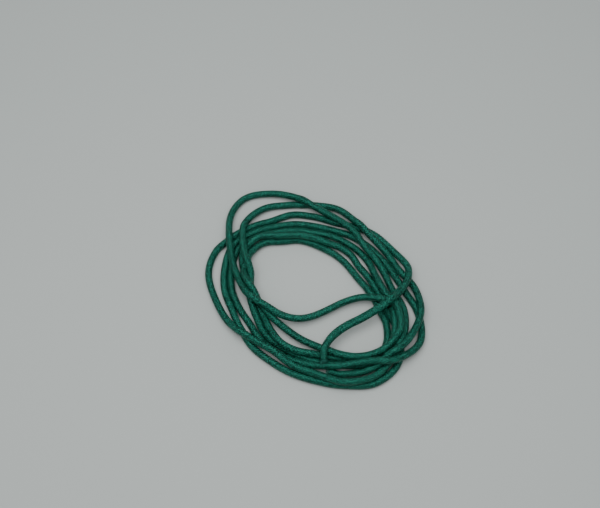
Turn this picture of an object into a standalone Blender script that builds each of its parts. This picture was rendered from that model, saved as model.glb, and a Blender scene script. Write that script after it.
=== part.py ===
"""Reed cord ligature: one bare braided cord, about 1.5 m long, lying in a loose oval coil.

Metres, +Z up. The origin is the middle of the coil's footprint, on the surface it lies on.
The bundled turns are one solid. The stretches that leave the bundle are tubes of the cord's own size.
"""

import math

import bmesh
import bpy
from mathutils import Vector, geometry

NAME = "reed_cord_ligature"

# The cord
CORD_DIAMETER = 0.0028
CORD_SIDES_RESOLUTION = 2  # 8 sides
TUBE_STEP = 0.0055  # spacing of the points along a tube
CORD_GREEN = (0.012, 0.135, 0.085, 1.0)
CORD_ROUGHNESS = 0.62

# The bundle of turns: the oval ring between two tilted ellipses
OUTER_HALF_LENGTH = 0.0446
OUTER_HALF_WIDTH = 0.0362
OUTER_CENTRE = (0.0024, -0.0035)
OPENING_HALF_LENGTH = 0.0298
OPENING_HALF_WIDTH = 0.0173
OPENING_CENTRE = (0.0012, -0.0036)
LONG_AXIS_ANGLE = math.radians(-46)
BUNDLE_HEIGHT = 0.0075
EDGE_RADIUS = 0.0022
EDGE_STEPS = 3
OVAL_POINTS = 72

GAP = 0.0003  # clearance between neighbouring solids

# Routes of the cord's centre where it leaves the bundle. Each begins and ends among the turns.
# The two outer loops go round the bundle: bearing in degrees, distance beyond its outer wall, height.
LOOP_TOP = [
    (60, -0.0050, 0.0050),
    (75, -0.0035, 0.0050),
    (90, -0.0003, 0.0045),
    (100, 0.0038, 0.0035),
    (109, 0.0073, 0.0025),
    (118, 0.0098, 0.0017),
    (124, 0.0105, 0.0014),
    (129, 0.0097, 0.0014),
    (134, 0.0079, 0.0017),
    (139, 0.0053, 0.0023),
    (145, 0.0017, 0.0035),
    (153, -0.0021, 0.0045),
    (165, -0.0061, 0.0050),
    (180, -0.0099, 0.0050),
]
LOOP_LEFT = [
    (120, -0.0047, 0.0014),
    (135, -0.0034, 0.0014),
    (146, -0.0001, 0.0014),
    (154, 0.0026, 0.0014),
    (159, 0.0036, 0.0014),
    (165, 0.0042, 0.0014),
    (171, 0.0042, 0.0014),
    (177, 0.0035, 0.0014),
    (184, 0.0024, 0.0014),
    (193, 0.0013, 0.0015),
    (203, 0.0002, 0.0019),
    (213, -0.0017, 0.0027),
    (225, -0.0043, 0.0038),
    (240, -0.0064, 0.0042),
]
# The two inner stretches cross the opening: x, y, height.
MIDDLE_STRETCH = [
    (-0.0258, -0.0030, 0.0056),
    (-0.0230, -0.0061, 0.0054),
    (-0.0201, -0.0085, 0.0046),
    (-0.0169, -0.0106, 0.0034),
    (-0.0135, -0.0124, 0.0024),
    (-0.0098, -0.0135, 0.0017),
    (-0.0056, -0.0137, 0.0015),
    (-0.0014, -0.0127, 0.0014),
    (0.0026, -0.0109, 0.0015),
    (0.0064, -0.0089, 0.0017),
    (0.0102, -0.0069, 0.0022),
    (0.0142, -0.0054, 0.0030),
    (0.0180, -0.0046, 0.0038),
    (0.0220, -0.0048, 0.0046),
    (0.0258, -0.0055, 0.0050),
    (0.0290, -0.0068, 0.0054),
    (0.0313, -0.0091, 0.0058),
]
END_STRETCH = [
    (0.0033, -0.0324, 0.0058),
    (0.0032, -0.0298, 0.0060),
    (0.0037, -0.0268, 0.0058),
    (0.0057, -0.0232, 0.0054),
    (0.0089, -0.0199, 0.0049),
    (0.0128, -0.0172, 0.0047),
    (0.0171, -0.0150, 0.0048),
    (0.0214, -0.0126, 0.0052),
    (0.0260, -0.0097, 0.0058),
    (0.0308, -0.0059, 0.0062),
    (0.0345, -0.0012, 0.0057),
    (0.0370, 0.0040, 0.0046),
]


def clear_scene():
    for obj in list(bpy.data.objects):
        bpy.data.objects.remove(obj, do_unlink=True)


def new_collection(name):
    collection = bpy.data.collections.new(name)
    bpy.context.scene.collection.children.link(collection)
    return collection


def cord_material():
    material = bpy.data.materials.new("braided_cord")
    material.use_nodes = True
    shader = material.node_tree.nodes["Principled BSDF"]
    shader.inputs["Base Color"].default_value = CORD_GREEN
    shader.inputs["Roughness"].default_value = CORD_ROUGHNESS
    shader.inputs["Metallic"].default_value = 0.0
    return material


def oval_axes():
    along = Vector((math.cos(LONG_AXIS_ANGLE), math.sin(LONG_AXIS_ANGLE)))
    return along, along.orthogonal()


def oval(half_length, half_width, centre, points=OVAL_POINTS):
    """Points round an ellipse whose long axis is tilted with the coil's."""
    turn = [2 * math.pi * i / points for i in range(points)]
    along, across = oval_axes()
    return [
        Vector(centre) + along * half_length * math.cos(a) + across * half_width * math.sin(a)
        for a in turn
    ]


def outer_oval(inset=0.0):
    return oval(OUTER_HALF_LENGTH - inset, OUTER_HALF_WIDTH - inset, OUTER_CENTRE)


def opening_oval(inset=0.0):
    return oval(OPENING_HALF_LENGTH + inset, OPENING_HALF_WIDTH + inset, OPENING_CENTRE)


def outer_wall(heading):
    """Distance from the origin to the bundle's outer wall, along a unit vector."""
    along, across = oval_axes()
    centre = Vector(OUTER_CENTRE)
    step = Vector((heading.dot(along) / OUTER_HALF_LENGTH, heading.dot(across) / OUTER_HALF_WIDTH))
    start = Vector((centre.dot(along) / OUTER_HALF_LENGTH, centre.dot(across) / OUTER_HALF_WIDTH))
    ahead = step.dot(start)
    return (ahead + math.sqrt(ahead**2 + step.dot(step) * (1 - start.dot(start)))) / step.dot(step)


def round_the_wall(route):
    """A loop's points in x, y and height, from bearings and distances beyond the outer wall."""
    points = []
    for bearing, beyond, height in route:
        heading = Vector((math.cos(math.radians(bearing)), math.sin(math.radians(bearing))))
        points.append((*(heading * (outer_wall(heading) + beyond)), height))
    return points


def make_coil(material, collection):
    """The bundled turns: a flat ring with rounded edges, open in the middle."""
    mesh = bmesh.new()
    half_turn = [math.pi / 2 * i / EDGE_STEPS for i in range(EDGE_STEPS + 1)]
    rounding = [(EDGE_RADIUS * (1 - math.sin(a)), EDGE_RADIUS * (1 - math.cos(a))) for a in half_turn]
    # Inset and height of each line round the ring: up the outer wall, then down the opening's wall.
    up = [(inset, z) for inset, z in rounding]
    over = [(inset, BUNDLE_HEIGHT - z) for inset, z in reversed(rounding)]
    section = [(outer_oval(inset), z) for inset, z in up + over]
    section += [(opening_oval(inset), z) for inset, z in reversed(up + over)]
    rings = [[mesh.verts.new((p.x, p.y, z)) for p in line] for line, z in section]
    for ring, following in zip(rings, rings[1:] + rings[:1]):
        for i in range(OVAL_POINTS):
            j = (i + 1) % OVAL_POINTS
            mesh.faces.new((ring[i], ring[j], following[j], following[i]))
    bmesh.ops.recalc_face_normals(mesh, faces=mesh.faces)
    data = bpy.data.meshes.new("coil")
    mesh.to_mesh(data)
    mesh.free()
    data.shade_smooth()
    data.set_sharp_from_angle(angle=math.radians(40))
    data.materials.append(material)
    collection.objects.link(bpy.data.objects.new("coil", data))


def smooth_route(points, step=TUBE_STEP / 8):
    """Closely spaced points on the Catmull-Rom curve through a route's own points."""
    route = [Vector(p) for p in points]
    ends = [2 * route[0] - route[1], *route, 2 * route[-1] - route[-2]]
    fine = [route[0]]
    for a, b, c, d in zip(ends, ends[1:], ends[2:], ends[3:]):
        pieces = max(1, round((c - b).length / step))
        handles = b + (c - a) / 6, c - (d - b) / 6
        fine += geometry.interpolate_bezier(b, *handles, c, pieces + 1)[1:]
    return fine


def clearance(point, outline):
    """Distance in plan from a point to a closed outline."""
    flat = point.to_2d()
    found = []
    for a, b in zip(outline, outline[1:] + outline[:1]):
        share = geometry.intersect_point_line(flat, a, b)[1]
        on_side = a.lerp(b, min(1.0, max(0.0, share)))
        found.append((flat - on_side).length)
    return min(found)


def inside(point, outline):
    """True if a point lies within a closed outline in plan."""
    crossings = 0
    for a, b in zip(outline, outline[1:] + outline[:1]):
        if (a.y > point.y) != (b.y > point.y):
            crossings += point.x < a.x + (point.y - a.y) / (b.y - a.y) * (b.x - a.x)
    return crossings % 2 == 1


def clear_of_coil(point):
    outer, opening = outer_oval(), opening_oval()
    if inside(point, outer) and not inside(point, opening):
        return False
    return min(clearance(point, outer), clearance(point, opening)) > CORD_DIAMETER / 2 + GAP


def free_stretch(points):
    """The longest run of a route that stays clear of the bundle."""
    runs, run = [], []
    for point in smooth_route(points):
        if clear_of_coil(point):
            run.append(point)
        elif run:
            runs.append(run)
            run = []
    return max([*runs, run], key=len)


def even_points(route, step):
    """Points of a route at even spacing, with both of its ends."""
    lengths = [0.0]
    for a, b in zip(route, route[1:]):
        lengths.append(lengths[-1] + (b - a).length)
    count = max(2, round(lengths[-1] / step) + 1)
    spaced, i = [], 0
    for k in range(count):
        at = lengths[-1] * k / (count - 1)
        while i < len(route) - 2 and lengths[i + 1] < at:
            i += 1
        share = (at - lengths[i]) / (lengths[i + 1] - lengths[i])
        spaced.append(route[i].lerp(route[i + 1], min(1.0, share)))
    return spaced


def make_tube(name, points, material, collection):
    """One stretch of cord outside the bundle, with flat ends just short of it."""
    curve = bpy.data.curves.new(name, "CURVE")
    curve.dimensions = "3D"
    curve.bevel_depth = CORD_DIAMETER / 2
    curve.bevel_resolution = CORD_SIDES_RESOLUTION
    curve.use_fill_caps = True
    spline = curve.splines.new("POLY")
    lowest = CORD_DIAMETER / 2
    spaced = even_points(free_stretch(points), TUBE_STEP)
    spline.points.add(len(spaced) - 1)
    for target, point in zip(spline.points, spaced):
        target.co = (point.x, point.y, max(point.z, lowest), 1.0)
    spline.use_smooth = True
    curve.materials.append(material)
    collection.objects.link(bpy.data.objects.new(name, curve))


def main():
    clear_scene()
    collection = new_collection(NAME)
    material = cord_material()
    make_coil(material, collection)
    stretches = {
        "outer_loop_top": round_the_wall(LOOP_TOP),
        "outer_loop_left": round_the_wall(LOOP_LEFT),
        "middle_stretch": MIDDLE_STRETCH,
        "end_stretch": END_STRETCH,
    }
    for name, points in stretches.items():
        make_tube(name, points, material, collection)


main()
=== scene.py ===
"""The look of the reed cord ligature: one braided cord, 1.5 m long, lying in a loose oval coil.

The cord's route is set stretch by stretch and turn by turn. The cord is then let down
onto the surface and onto itself, and braided round the line that results. Metres, +Z up.
"""

import math

import bpy
import numpy as np
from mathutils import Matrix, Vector


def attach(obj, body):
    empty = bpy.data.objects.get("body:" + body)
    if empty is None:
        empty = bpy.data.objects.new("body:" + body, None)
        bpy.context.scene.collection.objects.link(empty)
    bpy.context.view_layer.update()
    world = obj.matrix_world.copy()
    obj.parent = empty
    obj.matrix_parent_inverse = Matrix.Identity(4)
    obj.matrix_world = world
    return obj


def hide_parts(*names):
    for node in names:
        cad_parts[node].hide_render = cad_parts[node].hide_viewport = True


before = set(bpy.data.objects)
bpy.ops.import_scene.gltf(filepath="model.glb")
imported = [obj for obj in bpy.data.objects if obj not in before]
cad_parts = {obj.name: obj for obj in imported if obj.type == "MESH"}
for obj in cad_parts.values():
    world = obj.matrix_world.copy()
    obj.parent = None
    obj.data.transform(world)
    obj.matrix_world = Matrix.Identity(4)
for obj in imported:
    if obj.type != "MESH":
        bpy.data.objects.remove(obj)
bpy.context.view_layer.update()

MM = 0.001
TINY = 1e-9  # keeps a division by a length safe

# The cord, as in the frame
CORD_DIAMETER = 0.0028
RADIUS = CORD_DIAMETER / 2

# The outer wall of the bundle of turns, as in the frame
OUTER_HALF_LENGTH = 0.0446
OUTER_HALF_WIDTH = 0.0362
OUTER_CENTRE = (0.0024, -0.0035)
LONG_AXIS_ANGLE = math.radians(-46)

# The camera
CAMERA_ELEVATION = math.radians(62)
CAMERA_DISTANCE = 0.4276
CAMERA_TARGET = (-0.0058, 0.0165, 0.0)
CAMERA_LENS = 63.5


# ---------------------------------------------------------------- camera


def add_camera():
    away = Vector((0, -math.cos(CAMERA_ELEVATION), math.sin(CAMERA_ELEVATION)))
    camera = bpy.data.objects.new("camera", bpy.data.cameras.new("camera"))
    camera.location = Vector(CAMERA_TARGET) + away * CAMERA_DISTANCE
    camera.rotation_euler = (-away).to_track_quat("-Z", "Y").to_euler()
    camera.data.lens = CAMERA_LENS
    camera.data.clip_start = 0.01
    bpy.context.scene.collection.objects.link(camera)
    bpy.context.scene.camera = camera


# ---------------------------------------------------------------- the cord's route

# The end stretch and the middle stretch cross the opening: x, y, height.
END_STRETCH = [
    (0.0033, -0.0324, 0.0058),
    (0.0032, -0.0298, 0.0060),
    (0.0037, -0.0268, 0.0058),
    (0.0057, -0.0232, 0.0054),
    (0.0089, -0.0199, 0.0049),
    (0.0128, -0.0172, 0.0047),
    (0.0171, -0.0150, 0.0048),
    (0.0214, -0.0126, 0.0052),
    (0.0260, -0.0097, 0.0058),
    (0.0308, -0.0059, 0.0062),
    (0.0345, -0.0012, 0.0057),
    (0.0370, 0.0040, 0.0046),
]
MIDDLE_STRETCH = [
    (-0.0258, -0.0030, 0.0056),
    (-0.0230, -0.0061, 0.0054),
    (-0.0201, -0.0085, 0.0046),
    (-0.0169, -0.0106, 0.0034),
    (-0.0135, -0.0124, 0.0024),
    (-0.0098, -0.0135, 0.0017),
    (-0.0056, -0.0137, 0.0015),
    (-0.0014, -0.0127, 0.0014),
    (0.0026, -0.0109, 0.0015),
    (0.0064, -0.0089, 0.0017),
    (0.0102, -0.0069, 0.0022),
    (0.0142, -0.0054, 0.0030),
    (0.0180, -0.0046, 0.0038),
    (0.0220, -0.0048, 0.0046),
    (0.0258, -0.0055, 0.0050),
    (0.0290, -0.0068, 0.0054),
    (0.0313, -0.0091, 0.0058),
]

# The outer loops go round the bundle: bearing in degrees, distance beyond its outer wall, height.
LOOP_LEFT = [
    (120, -0.0047, 0.0014),
    (135, -0.0034, 0.0014),
    (146, -0.0001, 0.0014),
    (154, 0.0026, 0.0014),
    (159, 0.0036, 0.0014),
    (165, 0.0042, 0.0014),
    (171, 0.0042, 0.0014),
    (177, 0.0035, 0.0014),
    (184, 0.0024, 0.0014),
    (193, 0.0013, 0.0015),
    (203, 0.0002, 0.0019),
    (213, -0.0017, 0.0027),
    (225, -0.0043, 0.0038),
    (240, -0.0064, 0.0042),
]
LOOP_TOP = [
    (60, -0.0050, 0.0050),
    (75, -0.0035, 0.0050),
    (90, -0.0003, 0.0045),
    (100, 0.0038, 0.0035),
    (109, 0.0073, 0.0025),
    (118, 0.0098, 0.0017),
    (124, 0.0105, 0.0014),
    (129, 0.0097, 0.0014),
    (134, 0.0079, 0.0017),
    (139, 0.0053, 0.0023),
    (145, 0.0017, 0.0035),
    (153, -0.0021, 0.0045),
    (165, -0.0061, 0.0050),
    (180, -0.0099, 0.0050),
]

# The turns: how far the cord's centre is from the origin, in mm, and how many cord diameters it is
# above its lowest, at bearings a station apart, in degrees. The first two runs go anticlockwise.
STATION = 15
RIGHT_RUN_START = 15
RIGHT_RUN = [(38, 1.0), (35.5, 0.6), (34.5, 0.2), (32.5, 0), (31.5, 0), (33, 0), (35, 0)]
LOWER_RUN_START = 255
LOWER_RUN = [
    (34, 0.8), (36.5, 0.9), (41.5, 0.9), (43.5, 0.5), (41, 0.2),
    (39.5, 0.6), (36, 0.7), (30.5, 0.7), (28.5, 0.9), (27.5, 1.0), (27.5, 1.0),
]
# From the bend at the right the cord goes round clockwise, five times and a little more. One row of
# numbers here is one turn, and the layers go with the radii.
TURNS_START = -30
TURN_RADII = [
    (37.5, 37.5, 34.5, 29.7, 25.1, 22.6, 21.2, 21, 22, 24, 26, 28,
     30, 29, 25, 23, 20.5, 18.5, 17.5, 17, 17, 18, 21, 26),
    (32.5, 37.5, 34.5, 30.5, 29, 28.5, 27.5, 25, 23.5, 24, 25.5, 28.5,
     33, 32, 26.5, 23.5, 21.5, 20.5, 21, 21, 20.5, 22, 25, 29.5),
    (36.5, 44.5, 45.5, 41.7, 38.5, 36.5, 35, 34.5, 33.5, 33.5, 35, 36,
     37.5, 36.5, 32.5, 30.5, 28.5, 27.5, 28, 28.5, 29.5, 31.5, 35, 42),
    (46.5, 43.5, 37, 34.5, 32.7, 31.5, 31, 30.3, 29.5, 31, 33.5, 35.5,
     36.5, 33.5, 30, 27.5, 25.5, 25, 24.5, 24.5, 24.5, 24.3, 25.5, 30),
    (36.5, 40.5, 37, 33, 30, 28.5, 27.5, 27, 25.5, 25, 25.7, 28,
     33, 40, 42, 40, 38.5, 37.5, 34, 32.5, 33, 34.5, 39.5, 42.5),
    (42.5, 41.2, 40.2, 37),
]
TURN_LAYERS = [
    (1.9, 1.5, 1.2, 1, 0.8, 0.8, 0.8, 0.8, 0.8, 1, 1, 0.8,
     0.5, 0.2, 0, 0, 0, 0, 0, 0, 0, 0, 0, 0),
    (0, 0, 0.1, 0.2, 0.2, 0.1, 0, 0, 0, 0, 0, 0,
     0.2, 0.5, 0.7, 0.8, 0.8, 0.7, 0.4, 0.1, 0, 0, 0, 0),
    (0, 0, 0, 0, 0, 0, 0, 0, 0, 0, 0, 0,
     0, 0, 0, 0, 0, 0, 0, 0, 0, 0, 0, 0.1),
    (0.6, 1.5, 1.6, 1.5, 1.2, 0.8, 0.3, 0, 0, 0, 0, 0,
     0, 0, 0, 0, 0, 0, 0, 0.1, 0.4, 0.8, 0.9, 0.9),
    (0.9, 0.3, 0, 0, 0, 0, 0, 0, 0.3, 0.5, 0.8, 1,
     1.2, 0.8, 0.2, 0, 0, 0.3, 0.9, 1, 0.7, 0.5, 0.5, 1),
    (1.1, 1, 0.9, 1),
]

# The other end, on the lower turns
LAST_STRETCH = [(0.0050, -0.0339, 0.0048)]

CURVE_SAMPLES = 16  # between one point of the route and the next, before they are spaced evenly
STEEPEST = 1.2  # a slope longer than this many chords is cut to it, so that the curve can't loop


def outer_wall(heading):
    """Distance from the origin to the bundle's outer wall, along a unit vector."""
    along = Vector((math.cos(LONG_AXIS_ANGLE), math.sin(LONG_AXIS_ANGLE)))
    across = along.orthogonal()
    centre = Vector(OUTER_CENTRE)
    step = Vector((heading.dot(along) / OUTER_HALF_LENGTH, heading.dot(across) / OUTER_HALF_WIDTH))
    start = Vector((centre.dot(along) / OUTER_HALF_LENGTH, centre.dot(across) / OUTER_HALF_WIDTH))
    ahead = step.dot(start)
    return (ahead + math.sqrt(ahead**2 + step.dot(step) * (1 - start.dot(start)))) / step.dot(step)


def heading_at(bearing):
    return Vector((math.cos(math.radians(bearing)), math.sin(math.radians(bearing))))


def round_the_wall(route):
    """A loop's points in x, y and height, from bearings and distances beyond the outer wall."""
    points = []
    for bearing, beyond, height in route:
        heading = heading_at(bearing)
        points.append((*(heading * (outer_wall(heading) + beyond)), height))
    return points


def stations(start, step, run):
    """Points of a run of turns, from a distance in mm and a layer at each bearing."""
    points = []
    for i, (distance, layer) in enumerate(run):
        flat = heading_at(start + i * step) * distance * MM
        points.append((*flat, RADIUS + layer * CORD_DIAMETER))
    return points


def route_points():
    radii = [radius for turn in TURN_RADII for radius in turn]
    layers = [layer for turn in TURN_LAYERS for layer in turn]
    return np.array(
        END_STRETCH
        + stations(RIGHT_RUN_START, STATION, RIGHT_RUN)
        + round_the_wall(LOOP_LEFT)
        + stations(LOWER_RUN_START, STATION, LOWER_RUN)
        + round_the_wall(LOOP_TOP)
        + MIDDLE_STRETCH
        + stations(TURNS_START, -STATION, zip(radii, layers))
        + LAST_STRETCH
    )


def smooth_curve(points, spacing):
    """Points at even spacing along a Catmull-Rom curve through the given points."""
    before, after = 2 * points[0] - points[1], 2 * points[-1] - points[-2]
    p = np.vstack([before, points, after])
    fine = []
    for a, b, c, d in zip(p, p[1:], p[2:], p[3:]):
        chord = np.linalg.norm(c - b)
        start, end = (
            slope * min(1.0, STEEPEST * chord / max(np.linalg.norm(slope), TINY))
            for slope in ((c - a) / 2, (d - b) / 2)
        )
        t = np.linspace(0, 1, CURVE_SAMPLES, endpoint=False)[:, None]
        fine.append(
            (2 * t**3 - 3 * t**2 + 1) * b
            + (t**3 - 2 * t**2 + t) * start
            + (3 * t**2 - 2 * t**3) * c
            + (t**3 - t**2) * end
        )
    return evenly(np.vstack([*fine, points[-1:]]), spacing)


def lengths_along(line):
    """The distance along a line of points to each of them."""
    return np.concatenate([[0], np.cumsum(np.linalg.norm(np.diff(line, axis=0), axis=1))])


def evenly(line, spacing):
    """Points at even spacing along a line, with both of its ends."""
    along = lengths_along(line)
    at = np.linspace(0, along[-1], round(along[-1] / spacing) + 1)
    return np.stack([np.interp(at, along, column) for column in line.T], axis=1)


# ---------------------------------------------------------------- letting the cord down

SETTLE_SPACING = RADIUS  # between the points of the cord while it settles
SETTLE_STEPS = 420
FALL = 0.007 * CORD_DIAMETER  # in one step
HOLD = 0.06  # the share of its way back to the route in plan that a point goes in one step
STIFFNESS = ((1, 0.25), (2, 0.125), (4, 0.09))  # points to each side, and their share
NOT_NEIGHBOURS = 4  # points this far along the cord may touch each other
NEAR = 1.5 * CORD_DIAMETER  # pairs closer than this are watched
PAIRS_EVERY = 4  # steps from one search for pairs to the next
PARTINGS = 3  # in one step
LAST_PARTINGS = 20
PUSH = 0.25  # each of two that cut into each other moves this share of the depth
PUSH_UP = 1.3  # and this much more of it in height


def stiffened(line):
    """The line with its bumps spread along it, as a springy cord spreads them."""
    out = line.copy()
    for reach, share in STIFFNESS:
        middle = (line[: -2 * reach] + line[2 * reach :]) / 2 - line[reach:-reach]
        out[reach:-reach] += share * middle
    return out


def close_pairs(line):
    """Pairs of points that are near each other and not neighbours along the cord."""
    first, second = np.triu_indices(len(line), NOT_NEIGHBOURS)
    apart = ((line[first] - line[second]) ** 2).sum(axis=1)
    close = apart < NEAR**2
    return first[close], second[close]


def part_touching(line, pairs):
    """Pushes stretches of cord that cut into each other half of the way apart."""
    first, second = pairs
    between = line[first] - line[second]
    apart = np.maximum(np.linalg.norm(between, axis=1), TINY)
    cut = apart < CORD_DIAMETER
    push = (PUSH * (CORD_DIAMETER - apart[cut]) / apart[cut])[:, None] * between[cut]
    push[:, 2] *= PUSH_UP
    np.add.at(line, first[cut], push)
    np.add.at(line, second[cut], -push)
    line[:, 2] = np.maximum(line[:, 2], RADIUS)


def settle(line):
    """Lets the cord down onto the surface and onto itself, close to its route in plan."""
    plan = line.copy()
    plan[:, 2] = 0
    pairs = close_pairs(line)
    for step in range(SETTLE_STEPS):
        line = plan + stiffened(line - plan)
        line += HOLD * (plan - line) * (1, 1, 0)
        line[:, 2] -= FALL
        if step % PAIRS_EVERY == 0:
            pairs = close_pairs(line)
        for _ in range(PARTINGS):
            part_touching(line, pairs)
    for _ in range(LAST_PARTINGS):
        part_touching(line, pairs)
    return line


# ---------------------------------------------------------------- the braid

CARRIERS = 8  # yarns each way round
YARN_ADVANCE = 0.00112  # along the cord from one yarn to the next of the same hand
CROWN = 0.00025  # how far a yarn's middle stands above its edges
WAVE = 0.00009  # how far it rises and falls as it passes over and under
STEPS_PER_YARN = 4  # diamonds of the mesh across one yarn
PROUD = 0.00006  # the crowns stand this far out of the nominal diameter, as loose filaments do
REPEAT = 4  # yarns from one place where a yarn is on top to the next: over two, under two
LEFT_ON_TOP = 3  # where a left-hand yarn is on top, counted as a right-hand yarn's place is 0

# Where the end stretch is flat, from its tip, and how wide and high it is there, 1 being round
FLAT_FROM = 0.006
FLAT_TO = 0.052
FLAT_FADE = 0.008
FLAT_WIDTH = 1.17
FLAT_HEIGHT = 0.82

# This low relief gives the middle of a cut end the painted shade of the gaps between the yarns.
END_RELIEF = 0.2  # the relief in the middle of a cut end
END_TONE = 0.5  # and the tone of the faces there
OTHER_HAND = 100.0  # keeps the right-hand and left-hand yarns apart in the yarn map


def braid_relief(right, left):
    """Depth below the cord's full radius, and whether the right-hand yarn is on top.

    right and left count yarns of each hand. Each yarn passes over two and under two.
    """
    crown_right = np.sqrt(np.maximum(0, 1 - (2 * (right % 1) - 1) ** 2))
    crown_left = np.sqrt(np.maximum(0, 1 - (2 * (left % 1) - 1) ** 2))
    quarter = math.pi / 2
    height_right = CROWN * crown_right + WAVE * np.cos(quarter * (np.floor(right) - left))
    height_left = CROWN * crown_left - WAVE * np.cos(quarter * (right - np.floor(left) - 1))
    return CROWN + WAVE - np.maximum(height_right, height_left), height_right > height_left


def frames_along(line):
    """Two normals at each point, with as little twist as the line allows."""
    tangents = np.gradient(line, axis=0)
    tangents /= np.linalg.norm(tangents, axis=1)[:, None]
    normal = np.cross(tangents[0], (0, 0, 1))
    normals = []
    for tangent in tangents:
        normal = normal - tangent * (normal @ tangent)
        normal = normal / math.sqrt(normal @ normal)
        normals.append(normal)
    normals = np.array(normals)
    return normals, np.cross(tangents, normals)


def lattice(rows, columns):
    """Where each point of the braid's lattice is, counted in right-hand and left-hand yarns.

    Odd rows stand between even ones, so that the lattice's edges follow the yarns.
    """
    row, column = np.arange(rows)[:, None], np.arange(columns)[None, :]
    around = (2 * column + row % 2) / (2 * columns)
    ahead = row / (2 * STEPS_PER_YARN)
    return CARRIERS * around + ahead, ahead - CARRIERS * around, around


def flattened(points, centres, along):
    """The end stretch is worn flat: wider than it is high, past its tip."""
    fade = np.clip((along - FLAT_FROM) / FLAT_FADE, 0, 1)
    fade = fade * np.clip((FLAT_TO - along) / FLAT_FADE, 0, 1)
    fade = (fade * fade * (3 - 2 * fade))[:, None]
    offset = points - centres[:, None]
    heading = np.gradient(centres, axis=0)
    side = np.cross(heading, (0, 0, 1))
    side /= np.linalg.norm(side, axis=1)[:, None]
    sideways = (offset * side[:, None]).sum(axis=2)
    offset += (fade * (FLAT_WIDTH - 1) * sideways)[..., None] * side[:, None]
    offset[..., 2] *= 1 - fade * (1 - FLAT_HEIGHT)
    return centres[:, None] + offset


def make_cord(line):
    """A closed mesh of the braided sheath. Each face is one diamond of the yarns' lattice."""
    rows = smooth_curve(line, YARN_ADVANCE / (2 * STEPS_PER_YARN))
    count, columns = len(rows), CARRIERS * STEPS_PER_YARN
    right, left, around = lattice(count, columns)
    depth, _ = braid_relief(np.round(right, 6), np.round(left, 6))
    normals, binormals = frames_along(rows)
    angle = 2 * math.pi * around[..., None]
    out = np.cos(angle) * normals[:, None] + np.sin(angle) * binormals[:, None]
    points = rows[:, None] + (RADIUS + PROUD - depth)[..., None] * out
    points = flattened(points, rows, lengths_along(rows))

    low, column = np.arange(count - 2)[:, None], np.arange(columns)[None, :]
    odd = low % 2
    here = low * columns + column
    on_right = (low + 1) * columns + (column + odd) % columns
    on_left = (low + 1) * columns + (column + odd - 1) % columns
    faces = np.stack([here, on_right, here + 2 * columns, on_left], axis=-1).reshape(-1, 4)

    # Half diamonds finish the rims, and a fan closes each end.
    last = (count - 1) * columns
    middle = (count * columns, count * columns + 1)
    ends = []
    for k in range(columns):
        following = (k + 1) % columns
        between = (count - 2) * columns + (following if count % 2 == 0 else k)
        ends += [(k, following, columns + k), (following, k, middle[0])]
        ends += [(last + following, last + k, between), (last + k, last + following, middle[1])]
    vertices = [*points.reshape(-1, 3).tolist(), rows[0], rows[-1]]
    mesh = bpy.data.meshes.new("cord")
    mesh.from_pydata(vertices, [], faces.tolist() + ends)
    mesh.shade_smooth()

    # What the material reads: a point's relief, from which it paints shade between the yarns and
    # highlight on their crowns, a face's tone, and a map along the yarns
    relief = mesh.attributes.new("relief", "FLOAT", "POINT")
    height = 1 - depth / (CROWN + 2 * WAVE)
    heights = np.append(height.ravel(), (END_RELIEF, END_RELIEF))
    relief.data.foreach_set("value", heights.astype(np.float32))
    yarn_attributes(mesh, count, columns)
    bake_map(mesh, count, columns)
    cord = bpy.data.objects.new("cord", mesh)
    bpy.context.scene.collection.objects.link(cord)
    return cord


SCATTER = (12.9898, 78.233, 43758.5453)  # any three numbers with no common measure


def scatter(a, b):
    """A number from 0 to 1 for each pair, with no pattern to it."""
    mixed = np.sin(a * SCATTER[0] + b * SCATTER[1]) * SCATTER[2]
    return mixed - np.floor(mixed)


def yarn_attributes(mesh, count, columns):
    """Gives each diamond the tone of its yarn where it shows, and a place along that yarn in mm."""
    step = 1 / STEPS_PER_YARN
    right, left, _ = (v[: count - 2] for v in lattice(count, columns))
    _, over = braid_relief(right + step / 2, left + step / 2)
    own = np.where(over, np.floor(right + step / 2), np.floor(left + step / 2) + 0.5)
    shown = np.where(
        over,
        np.round((left + step / 2 - np.floor(right + step / 2)) / REPEAT),
        np.round((right + step / 2 - np.floor(left + step / 2) - LEFT_ON_TOP) / REPEAT),
    )
    tone = mesh.attributes.new("tone", "FLOAT", "FACE")
    values = np.full(len(mesh.polygons), END_TONE, np.float32)
    values[: over.size] = scatter(own, shown).ravel()
    tone.data.foreach_set("value", values)

    corner_right = right[..., None] + np.array([0, step, step, 0])
    corner_left = left[..., None] + np.array([0, 0, step, step])
    across = np.where(over[..., None], corner_right, corner_left)
    along = np.where(over[..., None], corner_left, corner_right + OTHER_HAND)
    pitch = math.hypot(YARN_ADVANCE / 2, math.pi * CORD_DIAMETER / (2 * CARRIERS)) / MM
    places = np.zeros((len(mesh.loops), 2), np.float32)
    places[: over.size * 4] = (np.stack([across, along], -1) * pitch).reshape(-1, 2)
    mesh.uv_layers.new(name="yarn").uv.foreach_set("vector", places.ravel())


BAKE_STRIPS = 13  # the sheath unrolled and cut into strips makes about a square
BAKE_TOP = 0.985  # above this the map holds the triangles of the two ends
DIAMOND_U, DIAMOND_V = (0, 0.5, 0, -0.5), (0, 1, 2, 1)  # a diamond's corners, in columns and rows
TRIANGLE_U, TRIANGLE_V = (0.1, 0.9, 0.5), (0.2, 0.2, 0.9)  # a triangle's, in its own cell


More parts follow.
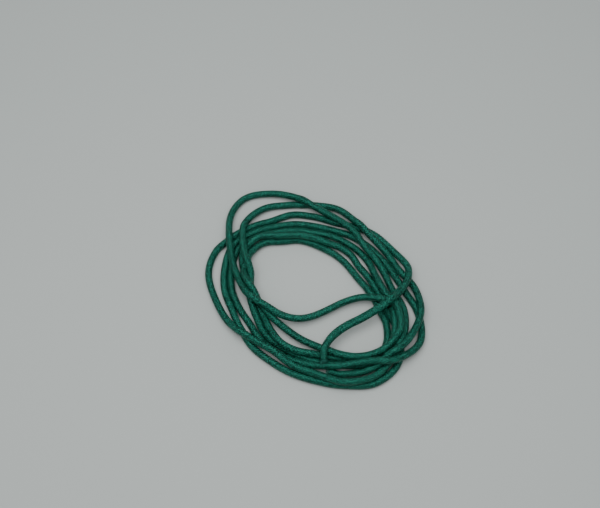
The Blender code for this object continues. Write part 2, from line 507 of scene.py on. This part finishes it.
def bake_map(mesh, count, columns):
    """A map for baking: the sheath unrolled, in strips side by side, and its ends above them."""
    low, column = np.arange(count - 2)[:, None], np.arange(columns)[None, :]
    per_strip = math.ceil((count - 2) / BAKE_STRIPS)
    strip = low // per_strip
    across = (2 * column + low % 2) / 2 + np.zeros_like(low)
    up = low - strip * per_strip + np.zeros_like(column)
    u = (across[..., None] + np.array(DIAMOND_U) + 1) / (columns + 1.5)
    v = (up[..., None] + np.array(DIAMOND_V) + 1) / (per_strip + 3)
    u = (u + strip[..., None]) / BAKE_STRIPS
    triangles = 4 * columns
    left_side = np.arange(triangles)[:, None] / triangles
    end_u = left_side + np.array(TRIANGLE_U) / triangles
    end_v = BAKE_TOP + (1 - BAKE_TOP) * np.array(TRIANGLE_V) + 0 * left_side
    places = np.vstack([
        np.stack([u, v * BAKE_TOP], -1).reshape(-1, 2),
        np.stack([end_u, end_v], -1).reshape(-1, 2),
    ])
    mesh.uv_layers.new(name="OFBake").uv.foreach_set("vector", places.astype(np.float32).ravel())


# ---------------------------------------------------------------- the cut ends

STRAND_SEGMENTS = 4
ROOT = 0.0006  # how far inside the sheath a strand starts
FILAMENTS = 70
FILAMENT_RADIUS = 0.00006
FILAMENT_TAPER = 0.35  # the share of its thickness that a filament loses towards its tip
FILAMENT_LENGTH = 0.0003  # out of the sheath
FILAMENT_MORE = 0.0009  # and up to this much more
FILAMENT_SPLAY = 0.00035
FILAMENT_WALL = 0.00022  # the outermost filaments start this far inside the cord's surface
FILAMENT_SEED = 9
CORE_YARNS = 5
CORE_YARN_RADIUS = 0.00030
CORE_YARN_PLACE = 0.00048  # from the cord's middle
CORE_YARN_LENGTH = 0.00020
CORE_YARN_MORE = 0.00010  # for every other core yarn


def make_end(name, tip, inward):
    """A cut end: the core's yarns, just proud of the sheath, and its filaments, splayed."""
    heading = Vector(tip - inward).normalized()
    side = heading.cross(Vector((0, 0, 1))).normalized()
    up = side.cross(heading)
    curve = bpy.data.curves.new(name, "CURVE")
    curve.dimensions = "3D"
    curve.bevel_depth = FILAMENT_RADIUS
    curve.bevel_resolution = 1
    curve.use_fill_caps = True

    def strand(out, turn, length, splay=0.0, taper=0.0, thickness=1.0):
        spline = curve.splines.new("POLY")
        spline.points.add(STRAND_SEGMENTS)
        radial = side * math.cos(turn) + up * math.sin(turn)
        for k, point in enumerate(spline.points):
            share = k / STRAND_SEGMENTS
            ahead = -ROOT + share * (length + ROOT)
            place = Vector(tip) + heading * ahead + radial * (out + splay * share * share)
            point.co = (*place, 1)
            point.radius = thickness * (1 - taper * share)

    for i in range(CORE_YARNS):
        turn = 2 * math.pi * i / CORE_YARNS
        length = CORE_YARN_LENGTH + CORE_YARN_MORE * (i % 2)
        strand(CORE_YARN_PLACE, turn, length, thickness=CORE_YARN_RADIUS / FILAMENT_RADIUS)
    golden = math.pi * (3 - math.sqrt(5))
    for i in range(FILAMENTS):
        share = (i + 0.5) / FILAMENTS
        chance = float(scatter(i, FILAMENT_SEED))
        out = (RADIUS - FILAMENT_WALL) * math.sqrt(share)
        length = FILAMENT_LENGTH + FILAMENT_MORE * chance
        strand(out, i * golden, length, FILAMENT_SPLAY * chance * share, FILAMENT_TAPER)
    end = bpy.data.objects.new(name, curve)
    bpy.context.scene.collection.objects.link(end)
    return end


# ---------------------------------------------------------------- materials

# A place on the cord's colour ramp is the yarn's relief and so much of each of these, less LIT_LESS.
FIBRES_ADD = 0.5
TONE_ADDS = 0.22
# The painted glints: bright dots of painted highlight
PAINTED_GLINTS_ADD = 2.3
LIT_LESS = 1.55
# The ramp, in the order that its stops are made: painted shade in the gaps between the yarns, a
# painted highlight as the bright band just below the crowns, the yarns' sides in lighter painted
# shade, and the crowns' own green, which the second stop at 1 gives from there on.
CORD_COLOURS_WITH_PAINTED_LIGHT = [
    (0.55, (0.0001, 0.006, 0.0037)),
    (1.0, (0.0550, 0.330, 0.235)),
    (0.86, (0.0002, 0.0240, 0.0142)),
    (1.0, (0.0010, 0.0690, 0.0420)),
]
CUT_COLOURS = [(0.35, (0.001, 0.050, 0.034)), (0.68, (0.030, 0.240, 0.185))]
FIBRE_SCALE = (16.0, 1.6, 1.0)  # fine across a yarn, and long along it


def new_material(name):
    material = bpy.data.materials.new(name)
    material.use_nodes = True
    return material, material.node_tree, material.node_tree.nodes["Principled BSDF"]


def set_or_link(tree, socket, value):
    if isinstance(value, bpy.types.NodeSocket):
        tree.links.new(value, socket)
    else:
        socket.default_value = value


def node(tree, kind, **inputs):
    """A new node with its named inputs set or linked."""
    made = tree.nodes.new(kind)
    for name, value in inputs.items():
        set_or_link(tree, made.inputs[name], value)
    return made


def math_node(tree, operation, *values):
    made = tree.nodes.new("ShaderNodeMath")
    made.operation = operation
    for socket, value in zip(made.inputs, values):
        set_or_link(tree, socket, value)
    return made.outputs["Value"]


def noise(tree, place, scale, detail):
    made = node(tree, "ShaderNodeTexNoise", Vector=place, Scale=scale, Detail=detail)
    return made.outputs["Fac"]


def attribute(tree, name):
    made = tree.nodes.new("ShaderNodeAttribute")
    made.attribute_name = name
    return made.outputs["Fac"]


def ramp_node(tree, fac, stops):
    """A colour ramp. Its first two stops are the ones that a new ramp has."""
    made = tree.nodes.new("ShaderNodeValToRGB")
    elements = made.color_ramp.elements
    for i, (position, colour) in enumerate(stops):
        element = elements[i] if i < 2 else elements.new(position)
        element.position = position
        element.color = (*colour, 1)
    tree.links.new(fac, made.inputs["Fac"])
    return made.outputs["Color"]


def cord_material():
    """Dyed nylon yarn: deep green, with painted shade between the yarns and painted glints on them.
    """
    material, tree, shader = new_material("braided_cord")
    shader.inputs["Metallic"].default_value = 0.0
    shader.inputs["Roughness"].default_value = 0.36
    shader.inputs["Specular IOR Level"].default_value = 0.45
    shader.inputs["Specular Tint"].default_value = (0.15, 1.0, 0.75, 1)

    yarn = tree.nodes.new("ShaderNodeUVMap")
    yarn.uv_map = "yarn"
    stretch = node(tree, "ShaderNodeMapping", Vector=yarn.outputs["UV"], Scale=FIBRE_SCALE)
    fibres = noise(tree, stretch.outputs["Vector"], scale=1.0, detail=3.0)
    # Painted glints: bright dots of painted highlight over the yarns
    painted_glints = noise(tree, yarn.outputs["UV"], scale=1.9, detail=1.0)

    # Relief on the yarn, which paints shade between the yarns and highlight on their crowns, with a
    # little of the fibres, the yarn's own tone and the painted glints
    lit = math_node(tree, "MULTIPLY_ADD", fibres, FIBRES_ADD, attribute(tree, "relief"))
    lit = math_node(tree, "MULTIPLY_ADD", attribute(tree, "tone"), TONE_ADDS, lit)
    lit = math_node(tree, "MULTIPLY_ADD", painted_glints, PAINTED_GLINTS_ADD, lit)
    lit = math_node(tree, "SUBTRACT", lit, LIT_LESS)
    tree.links.new(ramp_node(tree, lit, CORD_COLOURS_WITH_PAINTED_LIGHT), shader.inputs["Base Color"])

    bump = node(tree, "ShaderNodeBump", Strength=0.6, Distance=0.00005, Height=fibres)
    tree.links.new(bump.outputs["Normal"], shader.inputs["Normal"])
    return material


def cut_yarn_material():
    """Cut filament ends: paler than the sheath, because they scatter the light."""
    material, tree, shader = new_material("cut_yarn")
    shader.inputs["Metallic"].default_value = 0.0
    shader.inputs["Roughness"].default_value = 0.5
    shader.inputs["Specular IOR Level"].default_value = 0.4
    place = tree.nodes.new("ShaderNodeTexCoord")
    patches = noise(tree, place.outputs["Object"], scale=2600.0, detail=2.0)
    tree.links.new(ramp_node(tree, patches, CUT_COLOURS), shader.inputs["Base Color"])
    return material


def floor_material():
    material, _, shader = new_material("pale_floor")
    shader.inputs["Base Color"].default_value = (0.42, 0.45, 0.435, 1)
    shader.inputs["Roughness"].default_value = 0.9
    return material


# ---------------------------------------------------------------- surroundings

FLOOR_HALF = 2.0  # half of the floor's side
SKY_COLOUR = (0.95, 0.98, 1.0, 1)
SKY_STRENGTH = 0.52
KEY_PLACE = (-0.03, -0.03, 0.42)
KEY_SIZE = 0.5
KEY_POWER = 1.9


def add_floor():
    mesh = bpy.data.meshes.new("floor")
    corners = [(-1, -1), (1, -1), (1, 1), (-1, 1)]
    vertices = [(x * FLOOR_HALF, y * FLOOR_HALF, 0) for x, y in corners]
    mesh.from_pydata(vertices, [], [(0, 1, 2, 3)])
    floor = bpy.data.objects.new("floor", mesh)
    mesh.materials.append(floor_material())
    bpy.context.scene.collection.objects.link(floor)


def add_light(name, location, size, power):
    """A round soft light that faces the origin."""
    light = bpy.data.lights.new(name, "AREA")
    light.shape = "DISK"
    light.size = size
    light.energy = power
    lamp = bpy.data.objects.new(name, light)
    lamp.location = location
    lamp.rotation_euler = (-Vector(location)).to_track_quat("-Z", "Y").to_euler()
    bpy.context.scene.collection.objects.link(lamp)


def add_lights():
    world = bpy.data.worlds.new("studio")
    world.use_nodes = True
    sky = world.node_tree.nodes["Background"]
    sky.inputs["Color"].default_value = SKY_COLOUR
    sky.inputs["Strength"].default_value = SKY_STRENGTH
    bpy.context.scene.world = world
    add_light("key", KEY_PLACE, KEY_SIZE, KEY_POWER)


# ---------------------------------------------------------------- the scene


def main():
    add_camera()
    line = settle(smooth_curve(route_points(), SETTLE_SPACING))
    cord = make_cord(line)
    cord.data.materials.append(cord_material())
    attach(cord, "root")
    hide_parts("coil", "outer_loop_top", "outer_loop_left", "middle_stretch", "end_stretch")
    ends = [
        make_end("cut_end_a", line[0], line[1]),
        make_end("cut_end_b", line[-1], line[-2]),
    ]
    cut_yarn = cut_yarn_material()
    for end in ends:
        end.data.materials.append(cut_yarn)
        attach(end, "root")
    add_floor()
    add_lights()


main()
